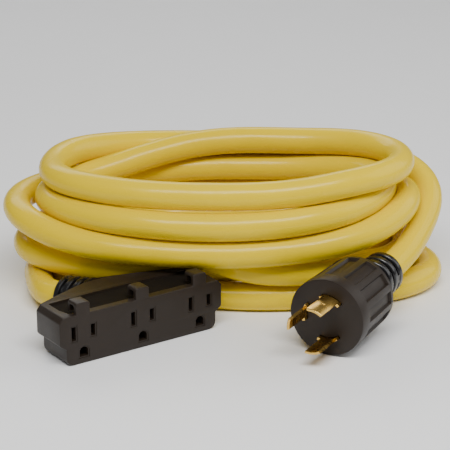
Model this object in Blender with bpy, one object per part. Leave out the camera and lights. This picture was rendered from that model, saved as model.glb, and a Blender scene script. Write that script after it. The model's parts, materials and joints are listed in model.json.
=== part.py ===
"""A three-outlet power cord: outlet head, locking plug and the coiled cord between them.

Metres, +Z up. The origin is on the floor under the middle of the outlet head, whose outlet
face looks along -Y. The coil lies behind the head and the plug lies in front of the coil.
"""
import math

import bmesh
import bpy
from mathutils import Euler, Matrix, Vector

MM = 0.001
GAP = 0.3 * MM                    # left between pieces that touch

# ---- outlet head ----
FACE_Y = -35.6 * MM               # outlet face; the origin is midway from it to the sleeve's end
HEAD_HALF = 55 * MM               # half the head's width
OUTLET_PITCH = 39.6 * MM
OUTLETS = (-OUTLET_PITCH, 0.0, OUTLET_PITCH)
SLOT_Z = 19 * MM                  # height of the blade slots' centres
SLOT_SIDE = 6.35 * MM             # blade slot to the outlet's centre line
GROUND_Z = SLOT_Z - 11.9 * MM
SLOT_WIDTH = 2.2 * MM
NEUTRAL_SLOT = 8.4 * MM
LINE_SLOT = 7.0 * MM
GROUND_HOLE = (5.5 * MM, 5.9 * MM)
COVER_DEPTH = 9 * MM
LEDGE_Z = 30 * MM                 # top of the head, apart from the lugs
LUG_Z = 37 * MM
LUG_HALF = 4.6 * MM
LUG_EYE = (3.6 * MM, 3.6 * MM)    # eye through each lug, depth and height
SIDE_DEPTH = 27 * MM              # from the face back to where the head starts to narrow
BLOCK_DEPTH = 28.5 * MM           # the same at its middle
MIDDLE_HALF = 18 * MM             # half the width of that middle part
NECK_X = -5 * MM
NECK_Y = FACE_Y + 46.5 * MM
NECK_RADIUS = 14 * MM
NECK_Z = 14.5 * MM
NECK_TURN = math.radians(24)      # the sleeve is pulled over towards -X by the cord
NECK_DROP = math.radians(3.5)     # and down towards the floor
NECK_LENGTH = 21 * MM
SHELL_WALL = 2.6 * MM

# ---- cord ----
CORD_RADIUS = 8.5 * MM
WIRE_RADIUS = 2.1 * MM
WIRE_CIRCLE = 3.1 * MM            # the three conductors' distance from the cord's middle
STUB_CLEARANCE = 0.3 * MM
RELIEF_RADIUS = 13.5 * MM

# ---- plug ----
PLUG_FACE = Vector((79.5 * MM, FACE_Y - 69.4 * MM, 23.25 * MM))
PLUG_TURN = math.radians(64.3)    # turned from +Y towards +X, going from face to cord
PLUG_TILT = math.radians(1.5)     # the cord end is higher
PLUG_RADIUS = 23.25 * MM
PLUG_REAR_RADIUS = 22 * MM
PLUG_LENGTH = 44.5 * MM
PLUG_RELIEF = 32 * MM
COLLAR = 9 * MM
FLUTES = 12
FLUTE_DEPTH = 1.1 * MM
PLUG_WALL = 3 * MM
BLADE_CIRCLE = 13.2 * MM
BLADE_THICK = 1.7 * MM
BLADE_OUT = 22 * MM
BLADE_IN = 14 * MM

# ---- coil ----
COIL_CENTRE = Vector((99.7 * MM, FACE_Y + 60.7 * MM, 0))
COIL_TURN = math.radians(-34.8)   # the long axis, turned from +X
COIL_HOLE = (90 * MM, 44 * MM)    # half length and half depth of the space inside the turns
COIL_STEPS = 64
# the turns' outer shape from the floor up: height, middle of the length, half length, half depth
COIL_LEVELS = (
    (0.2, 9, 125, 54),
    (5, 9, 129.5, 58.5),
    (14, 9, 129.5, 59),
    (27, -2, 126, 64),
    (34, -8.5, 127, 70),
    (42, -8.5, 129.5, 72),
    (62, -8.5, 127, 72),
    (72, 0, 117, 70),
    (78, 0, 116, 70),
    (83, 0, 111, 66),
)

COLOURS = {
    "black_moulding": ((0.020, 0.018, 0.016), 0.45, 0.0),
    "nylon": ((0.55, 0.52, 0.45), 0.5, 0.0),
    "brass": ((0.62, 0.44, 0.17), 0.3, 1.0),
    "tinned": ((0.62, 0.62, 0.60), 0.35, 1.0),
    "yellow_jacket": ((0.90, 0.68, 0.01), 0.3, 0.0),
    "wire_black": ((0.02, 0.02, 0.02), 0.4, 0.0),
    "wire_white": ((0.80, 0.80, 0.78), 0.4, 0.0),
    "wire_green": ((0.02, 0.30, 0.06), 0.4, 0.0),
}


def clear_scene():
    for item in list(bpy.data.objects):
        bpy.data.objects.remove(item, do_unlink=True)


def material(name):
    """The material of that name, made once."""
    found = bpy.data.materials.get(name)
    if found:
        return found
    colour, roughness, metallic = COLOURS[name]
    made = bpy.data.materials.new(name)
    made.use_nodes = True
    shader = made.node_tree.nodes["Principled BSDF"]
    shader.inputs["Base Color"].default_value = (*colour, 1)
    shader.inputs["Roughness"].default_value = roughness
    shader.inputs["Metallic"].default_value = metallic
    return made


def add_object(name, data, colour, parent=None):
    piece = bpy.data.objects.new(name, data)
    bpy.context.collection.objects.link(piece)
    piece.parent = parent
    if colour:
        data.materials.append(material(colour))
    return piece


def add_mesh(name, bm, colour, parent=None, smooth=False):
    """Closes a bmesh off as a named object."""
    bmesh.ops.remove_doubles(bm, verts=bm.verts, dist=1e-6)
    bmesh.ops.recalc_face_normals(bm, faces=bm.faces)
    mesh = bpy.data.meshes.new(name)
    bm.to_mesh(mesh)
    bm.free()
    if smooth:
        mesh.shade_smooth()
        mesh.set_sharp_from_angle(angle=math.radians(35))
    return add_object(name, mesh, colour, parent)


def cut(piece, cutter):
    """Takes the cutter's shape out of a piece."""
    cutter.hide_render = True
    cutter.display_type = "WIRE"
    boolean = piece.modifiers.new(cutter.name, "BOOLEAN")
    boolean.operation = "DIFFERENCE"
    boolean.solver = "EXACT"
    boolean.object = cutter


def box(bm, low, high):
    """A box between two corners."""
    low, high = Vector(low), Vector(high)
    place = Matrix.Translation((low + high) / 2) @ Matrix.Diagonal((*(high - low), 1))
    bmesh.ops.create_cube(bm, size=1, matrix=place)


def prism(bm, outline, start, end):
    """An outline in X and Z, extruded from one Y to another."""
    corners = [bm.verts.new((x, start, z)) for x, z in outline]
    face = bm.faces.new(corners)
    grown = bmesh.ops.extrude_face_region(bm, geom=[face])["geom"]
    moved = [item for item in grown if isinstance(item, bmesh.types.BMVert)]
    bmesh.ops.translate(bm, verts=moved, vec=(0, end - start, 0))


def turned(bm, profile, steps=36):
    """A closed profile of (radius, distance along Y), turned about the Y axis."""
    ring = [bm.verts.new((radius, along, 0)) for radius, along in profile]
    edges = [bm.edges.new((ring[i - 1], ring[i])) for i in range(len(ring))]
    bmesh.ops.spin(bm, geom=ring + edges, cent=(0, 0, 0), axis=(0, 1, 0), angle=math.tau,
                   steps=steps, use_merge=True)


def arc(centre, radius, start, end, steps):
    """Points of an arc, in degrees, in a plane."""
    points = []
    for step in range(steps + 1):
        angle = math.radians(start + (end - start) * step / steps)
        points.append((centre[0] + radius * math.cos(angle), centre[1] + radius * math.sin(angle)))
    return points


# ---------------------------------------------------------------- outlet head

def head_side(top_z, inset=0.0):
    """The head's right-hand outline from the bottom to the top, as (x, z) points."""
    foot = 50 * MM - inset
    side = HEAD_HALF - inset
    low = inset
    points = [(foot - 3 * MM, low), (foot - 0.9 * MM, low + 0.9 * MM), (foot, low + 3 * MM)]
    points += [(foot, 9.5 * MM + inset / 2), (side, 14.5 * MM + inset / 2)]
    points += [(side, 26 * MM - inset / 2), (side - 3.5 * MM, min(30 * MM, top_z) - inset / 2)]
    points += [(47 * MM - inset, top_z - inset), (41 * MM - inset, top_z - inset)]
    return points


def mirrored(half):
    """A whole outline from its right-hand half, which runs from bottom to top."""
    return half + [(-x, z) for x, z in reversed(half)]


def cover_outline():
    """The face's outline with its three lugs along the top."""
    half = head_side(LEDGE_Z)[:-2]
    outer = OUTLET_PITCH + LUG_HALF
    inner = OUTLET_PITCH - LUG_HALF
    corner = 1.5 * MM
    half += [(outer + 2.5 * MM, 32 * MM), (outer, LUG_Z - corner), (outer - corner, LUG_Z)]
    half += [(inner + corner, LUG_Z), (inner, LUG_Z - corner), (inner, LEDGE_Z)]
    half += [(LUG_HALF, LEDGE_Z), (LUG_HALF, LUG_Z - corner), (LUG_HALF - corner, LUG_Z)]
    return mirrored(half)


def ground_outline(x, width, height):
    """A ground hole: flat below and round above."""
    radius = width / 2
    low = GROUND_Z - height / 2
    top = GROUND_Z + height / 2 - radius
    return [(x - radius, low), (x + radius, low)] + arc((x, top), radius, 0, 180, 8)


def outlet_holes(bm, start, end, grow=0.0):
    """The blade slots and ground holes of all three outlets, as solids to cut with."""
    for x in OUTLETS:
        for side, height in ((-1, NEUTRAL_SLOT), (1, LINE_SLOT)):
            middle = x + side * SLOT_SIDE
            half = SLOT_WIDTH / 2 + grow
            low = (middle - half, start, SLOT_Z - height / 2 - grow)
            high = (middle + half, end, SLOT_Z + height / 2 + grow)
            box(bm, low, high)
        width, height = (side + 2 * grow for side in GROUND_HOLE)
        prism(bm, ground_outline(x, width, height), start, end)


def face_cover(head):
    """The face: a thick plate with slots, ground holes and three lugs with eyes."""
    bm = bmesh.new()
    prism(bm, cover_outline(), FACE_Y, FACE_Y + COVER_DEPTH)
    cover = add_mesh("head_face_cover", bm, "black_moulding", head)
    bm = bmesh.new()
    outlet_holes(bm, FACE_Y - MM, FACE_Y + COVER_DEPTH + MM)
    depth, height = LUG_EYE
    eye_y = FACE_Y + COVER_DEPTH / 2 + 0.4 * MM
    eye_low = LUG_Z - 2 * MM - height
    for x in OUTLETS:
        reach = LUG_HALF + 4 * MM
        box(bm, (x - reach, eye_y - depth / 2, eye_low), (x + reach, eye_y + depth / 2, eye_low + height))
    cut(cover, add_mesh("face_hole_cutter", bm, None, head))


# the neck's own axes: its middle, with the cord leaving along +Y
NECK = Matrix.Translation((NECK_X, NECK_Y, NECK_Z)) @ Euler((-NECK_DROP, 0, NECK_TURN)).to_matrix().to_4x4()


def head_section(y, half):
    """One ring of the moulding's skin at a given Y."""
    return [Vector((x, y, z)) for x, z in mirrored(half)]


def rear_y(x):
    """Where the block ends behind a given X: furthest back in the middle."""
    outside = max(0, abs(x) - MIDDLE_HALF) / (HEAD_HALF - MIDDLE_HALF)
    return FACE_Y + BLOCK_DEPTH + (SIDE_DEPTH - BLOCK_DEPTH) * outside


def neck_section(radius, count):
    """A round ring whose points match a head section's, from the bottom right round to the left."""
    ring = []
    for index in range(count):
        angle = math.radians(-80 + 340 * index / (count - 1))
        ring.append(NECK @ Vector((radius * math.cos(angle), 0, radius * math.sin(angle))))
    return ring


def skin(inset, front, neck_radius):
    """The rings of the moulding from front to neck, set in by a wall thickness."""
    block = [Vector((point.x, rear_y(point.x), point.z))
             for point in head_section(0, head_side(LEDGE_Z, inset))]
    rings = [head_section(front, head_side(LEDGE_Z, inset)), block]
    neck = neck_section(neck_radius, len(block))
    for share in (0.3, 0.6, 0.85):
        # the fan narrows almost straight and only rounds off near the neck
        turn = share * share
        ring = []
        for from_block, from_neck in zip(block, neck):
            wide = from_block.lerp(from_neck, share)
            wide.z = from_block.z + (from_neck.z - from_block.z) * turn
            ring.append(wide)
        rings.append(ring)
    rings.append(neck)
    return rings


def bridge(bm, rings, closed=False):
    """Joins rings of equal length, in order, into a skin; closed joins the last to the first."""
    corners = [[bm.verts.new(point) for point in ring] for ring in rings]
    pairs = list(zip(corners, corners[1:]))
    if closed:
        pairs.append((corners[-1], corners[0]))
    for near, far in pairs:
        for index in range(len(near)):
            bm.faces.new([near[index - 1], near[index], far[index], far[index - 1]])
    if not closed:
        bm.faces.new(corners[0])
        bm.faces.new(corners[-1])


def rear_moulding(head):
    """The hollow fan-shaped moulding behind the face, open to the face and to the neck."""
    bm = bmesh.new()
    front = FACE_Y + COVER_DEPTH + GAP
    outside = skin(0.0, front, NECK_RADIUS)
    inside = skin(SHELL_WALL, front, CORD_RADIUS + STUB_CLEARANCE)
    bridge(bm, outside + inside[::-1], closed=True)
    add_mesh("head_rear_moulding", bm, "black_moulding", head)


CARRIER_START = FACE_Y + COVER_DEPTH + GAP
CARRIER_END = FACE_Y + 18 * MM
BAR_Y = CARRIER_END + GAP          # front of the flat bars
BAR_THICK = 0.8 * MM
LEAF_REACH = 8 * MM                # the spring leaves' length, forward from the bar
RETAINER_Y = BAR_Y + BAR_THICK + GAP
RETAINER_END = RETAINER_Y + 1.8 * MM
TAIL_END = RETAINER_END + 2 * MM   # the bars' tails stick out behind the retainer
CARRIER_HALF = 50 * MM
CARRIER_LOW = 3.6 * MM
CARRIER_HIGH = 26.4 * MM


def carrier_outline():
    """The outline shared by the contact carrier and its retainer."""
    return mirrored([(45 * MM, CARRIER_LOW), (46 * MM, 12 * MM), (CARRIER_HALF, 16 * MM),
                     (CARRIER_HALF, 23 * MM), (46 * MM, CARRIER_HIGH)])


def contact_carrier(head):
    """The insulating block that holds the contacts, with a pocket for each."""
    bm = bmesh.new()
    prism(bm, carrier_outline(), CARRIER_START, CARRIER_END)
    carrier = add_mesh("contact_carrier", bm, "nylon", head)
    bm = bmesh.new()
    start, end = CARRIER_START - MM, CARRIER_END + MM
    for x in OUTLETS:
        for side in (-1, 1):
            middle = x + side * SLOT_SIDE
            box(bm, (middle - 2.6 * MM, start, 14.4 * MM), (middle + 2.6 * MM, end, 23.6 * MM))
        box(bm, (x - 4 * MM, start, GROUND_Z - 3 * MM), (x + 4 * MM, end, GROUND_Z + 3.4 * MM))
    cut(carrier, add_mesh("carrier_pocket_cutter", bm, None, head))


def bus_bar(name, head, columns, strip, leaf, spread, tail_x):
    """A stamped bar: a strip along X with a pair of spring leaves bent forward at each outlet.

    columns are the contacts' X, strip and leaf are (low, high) in Z, spread is the leaves' half
    spacing, and tail_x is where the bar's wire tail bends back.
    """
    thick = BAR_THICK
    outer = spread + thick
    breaks = {min(*columns, tail_x) - outer, max(*columns, tail_x) + outer}
    breaks |= {tail_x - TAIL_HALF, tail_x + TAIL_HALF}
    for x in columns:
        breaks |= {x + side * offset for side in (-1, 1) for offset in (spread, outer)}
    across = sorted({round(x, 7) for x in breaks})
    up = sorted({*strip, *leaf})
    bm = bmesh.new()
    leaves, tails, corners = [], [], {}

    def corner(x, z):
        if (x, z) not in corners:
            corners[(x, z)] = bm.verts.new((x, BAR_Y, z))
        return corners[(x, z)]

    for left, right in zip(across, across[1:]):
        for below, above in zip(up, up[1:]):
            x, z = (left + right) / 2, (below + above) / 2
            in_strip = strip[0] < z < strip[1]
            if not in_strip and all(abs(x - column) > outer for column in columns):
                continue
            bm.faces.new([corner(left, below), corner(right, below),
                          corner(right, above), corner(left, above)])
            middle = Vector((x, BAR_Y, z))
            on_leaf = any(spread < abs(x - column) < outer for column in columns)
            if on_leaf and leaf[0] < z < leaf[1]:
                leaves.append(middle)
            if abs(x - tail_x) < TAIL_HALF and in_strip:
                tails.append(middle)
    bm.normal_update()
    bmesh.ops.solidify(bm, geom=list(bm.faces), thickness=thick)
    push(bm, leaves, BAR_Y, -LEAF_REACH)
    push(bm, tails, BAR_Y + thick, TAIL_END - BAR_Y - thick)
    add_mesh(name, bm, "brass", head)


def push(bm, centres, y, distance):
    """Extrudes the faces at these centres, on the plane at y, along Y."""
    chosen = []
    for face in bm.faces:
        middle = face.calc_center_median()
        near = [c for c in centres if abs(c.x - middle.x) < 1e-6 and abs(c.z - middle.z) < 1e-6]
        if near and abs(middle.y - y) < 1e-6:
            chosen.append(face)
    grown = bmesh.ops.extrude_face_region(bm, geom=chosen)["geom"]
    moved = [item for item in grown if isinstance(item, bmesh.types.BMVert)]
    bmesh.ops.delete(bm, geom=[face for face in chosen if face.is_valid], context="FACES")
    bmesh.ops.translate(bm, verts=moved, vec=(0, distance, 0))


BARS = (
    # name, side of the outlet, strip in Z, leaf in Z, half spacing, tail's X
    ("line_bus_bar", 1, (24.2 * MM, 26.2 * MM), (15.6 * MM, 22.4 * MM), 1.2 * MM, 2.3 * MM),
    ("neutral_bus_bar", -1, (11.6 * MM, 13.6 * MM), (15.6 * MM, 22.4 * MM), 1.2 * MM, -2.3 * MM),
    ("ground_bus_bar", 0, (GROUND_Z - MM, GROUND_Z + MM), (GROUND_Z - 2 * MM, GROUND_Z + 2 * MM),
     2.8 * MM, 6 * MM),
)
TAIL_HALF = 2 * MM
WIRES = {"line": "wire_black", "neutral": "wire_white", "ground": "wire_green"}


def contact_retainer(head):
    """The plate that closes the contacts in from behind, with a slit for each bar's tail."""
    bm = bmesh.new()
    prism(bm, carrier_outline(), RETAINER_Y, RETAINER_END)
    retainer = add_mesh("contact_retainer", bm, "nylon", head)
    bm = bmesh.new()
    for _, _, strip, _, _, tail_x in BARS:
        reach = TAIL_HALF + 0.4 * MM
        low_corner = (tail_x - reach, RETAINER_Y - MM, strip[0] - 0.4 * MM)
        high_corner = (tail_x + reach, RETAINER_END + MM, strip[1] + 0.4 * MM)
        box(bm, low_corner, high_corner)
    cut(retainer, add_mesh("retainer_slit_cutter", bm, None, head))


def smooth_path(points, per_span=4):
    """Points along a smooth curve through the given ones."""
    padded = [2 * points[0] - points[1]] + points + [2 * points[-1] - points[-2]]
    path = []
    for index in range(1, len(padded) - 2):
        before, here, there, after = padded[index - 1:index + 3]
        for step in range(per_span):
            t = step / per_span
            path.append(0.5 * (2 * here + (there - before) * t
                               + (2 * before - 5 * here + 4 * there - after) * t ** 2
                               + (3 * here - before - 3 * there + after) * t ** 3))
    path.append(points[-1])
    return path


def straight_ended(points):
    """A smooth curve through the points whose first and last stretches are straight."""
    return [points[0]] + smooth_path(points[1:-1]) + [points[-1]]


def wire_path(start, start_way, end, end_way, steps=8):
    """A conductor's path, straight for a millimetre at each end and one easy curve between."""
    first, last = start + MM * start_way, end - MM * end_way
    reach = (last - first).length
    path = [start]
    for step in range(steps + 1):
        t = step / steps
        path.append((2 * t ** 3 - 3 * t ** 2 + 1) * first + (3 * t ** 2 - 2 * t ** 3) * last
                    + (t ** 3 - 2 * t ** 2 + t) * reach * start_way
                    + (t ** 3 - t ** 2) * reach * end_way)
    path.append(end)
    return path


def tube(name, points, radius, colour, parent=None, resolution=2):
    """A round cord, wire or jacket along a path, closed at both ends."""
    curve = bpy.data.curves.new(name, "CURVE")
    curve.dimensions = "3D"
    curve.bevel_depth = radius
    curve.bevel_resolution = resolution
    curve.use_fill_caps = True
    spline = curve.splines.new("POLY")
    spline.points.add(len(points) - 1)
    for slot, point in zip(spline.points, points):
        slot.co = (*point, 1)
    return add_object(name, curve, colour, parent)


HEAD_CRIMP_START = TAIL_END + GAP
HEAD_CRIMP_LENGTH = 4 * MM
PLUG_CRIMP_LENGTH = 5 * MM
JACKET_START = 0.5 * MM           # how far the jacket runs into the head's neck


def crimp(name, parent, place, length):
    """A crimped barrel at the end of a conductor, waisted where it is pressed."""
    bm = bmesh.new()
    bore, wide, waist = 0.4 * MM, 2.4 * MM, 1.9 * MM
    profile = [(bore, 0), (wide, 0), (wide, 0.25 * length), (waist, 0.4 * length)]
    profile += [(waist, 0.6 * length), (wide, 0.75 * length), (wide, length), (bore, length)]
    turned(bm, profile, steps=12)
    bmesh.ops.translate(bm, verts=bm.verts, vec=place)
    add_mesh(name, bm, "tinned", parent, smooth=True)


def head_wiring(head):
    """Bus bars, crimps and conductors from the bars' tails to the cord's jacket."""
    # where each conductor enters the jacket, across and up from the cord's middle
    entries = {"line": (0, 3.3 * MM), "neutral": (-2.9 * MM, -1.7 * MM), "ground": (2.9 * MM, -1.7 * MM)}
    # how high each crimp sits, within the moulding's hollow
    heights = {"line": 22.4 * MM, "neutral": 12.6 * MM, "ground": 8.4 * MM}
    for name, side, strip, leaf, spread, tail_x in BARS:
        pole = name.split("_")[0]
        columns = [x + side * SLOT_SIDE for x in OUTLETS]
        bus_bar(name, head, columns, strip, leaf, spread, tail_x)
        place = Vector((tail_x, HEAD_CRIMP_START, heights[pole]))
        crimp(pole + "_head_crimp", head, place, HEAD_CRIMP_LENGTH)
        start = place + Vector((0, HEAD_CRIMP_LENGTH + GAP, 0))
        across, up = entries[pole]
        end = NECK @ Vector((across, -JACKET_START - GAP, up))
        inward = end - NECK @ Vector((across, -JACKET_START - GAP - 1, up))
        path = wire_path(start, Vector((0, 1, 0)), end, inward)
        tube(pole + "_head_conductor", path, WIRE_RADIUS, WIRES[pole], head)


def relief_profile(length, hole, radius, end_radius, ribs):
    """A ribbed sleeve's profile: the hole, then out and back along the ribs, tapering."""
    profile = [(hole, length), (hole, 0), (radius, 0)]
    first, rib = 0.16 * length, 0.84 * length / ribs
    for index in range(ribs):
        near, far = first + index * rib, first + (index + 1) * rib
        outer = radius + (end_radius - radius) * (index + 1) / ribs
        groove = outer - 2.2 * MM
        before = radius + (end_radius - radius) * index / ribs
        profile += [(before, near), (groove, near + 0.12 * rib), (groove, near + 0.38 * rib)]
        profile += [(outer, near + 0.5 * rib), (outer, far - 0.01 * MM)]
    return profile


def strain_relief(name, parent, start, length, radius, ribs):
    """A ribbed sleeve along Y on the end of a moulding, tapering away from it."""
    bm = bmesh.new()
    turned(bm, relief_profile(length, CORD_RADIUS + STUB_CLEARANCE, radius, radius - MM, ribs))
    bmesh.ops.translate(bm, verts=bm.verts, vec=(0, start, 0))
    add_mesh(name, bm, "black_moulding", parent, smooth=True)


def jacket_end(name, parent, start, end):
    """The end of the cord's jacket, held in a moulding and its sleeve."""
    tube(name, [(0, start, 0), (0, end, 0)], CORD_RADIUS, "yellow_jacket", parent, resolution=4)


# ---------------------------------------------------------------- plug
# Its own axes: the face at Y = 0, the cord along +Y, up along +Z.

BLADES = (
    # name, middle of the blade's arc and its width, in degrees
    ("line_blade", 75, 46),
    ("neutral_blade", 280, 46),
    ("ground_blade", 172, 36),
)


def plug_section(along, radius, depth):
    """A fluted ring of the plug's grip."""
    count = FLUTES * 6
    ring = []
    for index in range(count):
        angle = math.tau * index / count
        place = (index % 6) / 6
        inset = depth if place in (0.0, 1 / 6, 2 / 6) else 0.0
        reach = radius - inset
        ring.append(Vector((reach * math.cos(angle), along, reach * math.sin(angle))))
    return ring


def blade_outline(middle, width, radius, thick, grow=0.0):
    """A blade's curved cross-section."""
    half = width / 2 + math.degrees(grow / radius)
    outer = arc((0, 0), radius + thick / 2 + grow, middle - half, middle + half, 6)
    inner = arc((0, 0), radius - thick / 2 - grow, middle + half, middle - half, 6)
    return outer + inner


def plug_body(plug):
    """The fluted grip, closed in front but for the blades' slots, and hollow behind."""
    bm = bmesh.new()
    length = PLUG_LENGTH
    inner = PLUG_RADIUS - PLUG_WALL - FLUTE_DEPTH
    hole = CORD_RADIUS + STUB_CLEARANCE
    rings = [plug_section(0, PLUG_RADIUS - 1.2 * MM, 0), plug_section(1.2 * MM, PLUG_RADIUS, 0)]
    rings += [plug_section(COLLAR, PLUG_RADIUS, 0)]
    rings += [plug_section(COLLAR + MM, PLUG_RADIUS - 0.1 * MM, FLUTE_DEPTH)]
    rings += [plug_section(length - 5 * MM, PLUG_REAR_RADIUS + 0.2 * MM, FLUTE_DEPTH)]
    rings += [plug_section(length - 4 * MM, PLUG_REAR_RADIUS, 0)]
    rings += [plug_section(length - 1.5 * MM, PLUG_REAR_RADIUS, 0)]
    rings += [plug_section(length, PLUG_REAR_RADIUS - 2.5 * MM, 0), plug_section(length, hole, 0)]
    rings += [plug_section(length - 4 * MM, hole, 0), plug_section(length - 4 * MM, inner - MM, 0)]
    rings += [plug_section(PLUG_WALL, inner, 0)]
    bridge(bm, rings)
    body = add_mesh("plug_body", bm, "black_moulding", plug, smooth=True)
    bm = bmesh.new()
    for _, middle, width in BLADES:
        prism(bm, blade_outline(middle, width, BLADE_CIRCLE, BLADE_THICK, GAP), -MM, PLUG_WALL + MM)
    cut(body, add_mesh("blade_slot_cutter", bm, None, plug))


BLADE_CARRIER_END = PLUG_WALL + GAP + 10 * MM


def blade_carrier(plug):
    """The insulating disc inside the plug that holds the three blades."""
    bm = bmesh.new()
    radius = PLUG_RADIUS - PLUG_WALL - FLUTE_DEPTH - 1.2 * MM
    start = PLUG_WALL + GAP
    centre = 3 * MM
    profile = [(centre, start), (radius, start), (radius, BLADE_CARRIER_END - MM)]
    profile += [(radius - MM, BLADE_CARRIER_END), (centre, BLADE_CARRIER_END)]
    turned(bm, profile)
    carrier = add_mesh("plug_blade_carrier", bm, "nylon", plug, smooth=True)
    bm = bmesh.new()
    for _, middle, width in BLADES:
        outline = blade_outline(middle, width, BLADE_CIRCLE, BLADE_THICK, GAP)
        prism(bm, outline, start - MM, BLADE_CARRIER_END + MM)
    cut(carrier, add_mesh("carrier_slot_cutter", bm, None, plug))


def blade(plug, name, middle, width):
    """One curved blade, notched near its tip so that it locks when it is turned."""
    bm = bmesh.new()
    prism(bm, blade_outline(middle, width, BLADE_CIRCLE, BLADE_THICK), -BLADE_OUT, BLADE_IN)
    made = add_mesh(name, bm, "brass", plug, smooth=True)
    bm = bmesh.new()
    edge = math.radians(middle - width / 2)
    notch = 2.4 * MM
    box(bm, (-notch, -BLADE_OUT + 4 * MM, -4 * MM), (notch, -BLADE_OUT + 8 * MM, 4 * MM))
    place = Matrix.Translation((BLADE_CIRCLE * math.cos(edge), 0, BLADE_CIRCLE * math.sin(edge)))
    turn = Matrix.Rotation(math.pi / 2 - edge, 4, "Y")
    bmesh.ops.transform(bm, matrix=place @ turn, verts=bm.verts)
    cut(made, add_mesh(name + "_notch_cutter", bm, None, plug))


def plug_wiring(plug):
    """Crimps and conductors from the blades to the cord's jacket."""
    jacket_start = PLUG_LENGTH - 5 * MM
    seat = BLADE_CIRCLE - 2 * MM
    backward = Vector((0, 1, 0))
    for name, middle, _ in BLADES:
        pole = name.split("_")[0]
        angle = math.radians(middle)
        x, z = seat * math.cos(angle), seat * math.sin(angle)
        crimp(pole + "_plug_crimp", plug, (x, BLADE_IN + GAP, z), PLUG_CRIMP_LENGTH)
        start = Vector((x, BLADE_IN + 2 * GAP + PLUG_CRIMP_LENGTH, z))
        end = Vector((WIRE_CIRCLE * math.cos(angle), jacket_start - GAP, WIRE_CIRCLE * math.sin(angle)))
        path = wire_path(start, backward, end, backward)
        tube(pole + "_plug_conductor", path, WIRE_RADIUS, WIRES[pole], plug)
    jacket_end("plug_jacket_end", plug, jacket_start, PLUG_LENGTH + GAP + PLUG_RELIEF)


# ---------------------------------------------------------------- coil

# Routes of the cord's two stretches outside the turns, in the coil's own axes. Each starts where
# the jacket leaves its sleeve, which the first point of the route leaves out.
PLUG_TAIL = ((103, -38, 27.5), (112, -23, 33), (121, -8, 42), (128, 8, 51), (127, 24, 58),
             (117, 40, 63), (101, 53, 66))
HEAD_TAIL = ((-106.5, -50.5, 11.2), (-111, -40.5, 10))


def ellipse(middle, half_length, half_depth, height):
    """A level ring of the coil."""
    ring = []
    for step in range(COIL_STEPS):
        angle = math.tau * step / COIL_STEPS
        across, along = half_length * math.cos(angle), half_depth * math.sin(angle)
        ring.append(Vector((middle + across, along, height)))
    return ring


def swept(bm, path, radius, steps=16):
    """A round solid along a path, closed at both ends."""
    rings = []
    for index, point in enumerate(path):
        before, after = path[max(index - 1, 0)], path[min(index + 1, len(path) - 1)]
        turn = (after - before).to_track_quat("Y", "Z")
        angles = [math.tau * step / steps for step in range(steps)]
        rings.append([point + turn @ Vector((radius * math.cos(a), 0, radius * math.sin(a)))
                      for a in angles])
    bridge(bm, rings)


def head_room():
    """The space that the head takes, seen from above, as a solid to cut with."""
    side, fan = HEAD_HALF + MM, NECK_RADIUS + 5 * MM
    right = [(side, FACE_Y), (side, rear_y(side) + MM), (NECK_X + fan, NECK_Y + 5 * MM)]
    left = [(NECK_X - fan, NECK_Y + 5 * MM), (-side, rear_y(side) + MM), (-side, FACE_Y)]
    plan = right + left
    bm = bmesh.new()
    face = bm.faces.new([bm.verts.new((x, y, -MM)) for x, y in plan])
    grown = bmesh.ops.extrude_face_region(bm, geom=[face])["geom"]
    raised = [item for item in grown if isinstance(item, bmesh.types.BMVert)]
    bmesh.ops.translate(bm, verts=raised, vec=(0, 0, LEDGE_Z + 2.5 * MM))
    return add_mesh("head_room_cutter", bm, None)


def cord_coil(coil, rooms):
    """The outer shape of the coiled turns, less the head's room and the given round ones."""
    bm = bmesh.new()
    rings = [ellipse(middle * MM, length * MM, depth * MM, height * MM)
             for height, middle, length, depth in COIL_LEVELS]
    low, high = COIL_LEVELS[0][0] * MM, COIL_LEVELS[-1][0] * MM
    rings += [ellipse(0, *COIL_HOLE, high), ellipse(0, *COIL_HOLE, low)]
    bridge(bm, rings, closed=True)
    turns = add_mesh("cord_coil", bm, "yellow_jacket", coil, smooth=True)
    cut(turns, head_room())
    for name, path, radius in rooms:
        bm = bmesh.new()
        swept(bm, path, radius + 0.5 * MM)
        cut(turns, add_mesh(name + "_room_cutter", bm, None, coil))


def tail_path(parent, end, route, coil):
    """A stretch's path in the coil's own axes, from where the jacket leaves its sleeve."""
    to_coil = coil.matrix_world.inverted() @ parent.matrix_world
    start = to_coil @ Vector((0, end + GAP, 0))
    straight = [to_coil @ Vector((0, end + GAP + step * MM, 0)) for step in (3, 6)]
    return straight_ended([start] + straight + [Vector(point) * MM for point in route])


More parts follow.
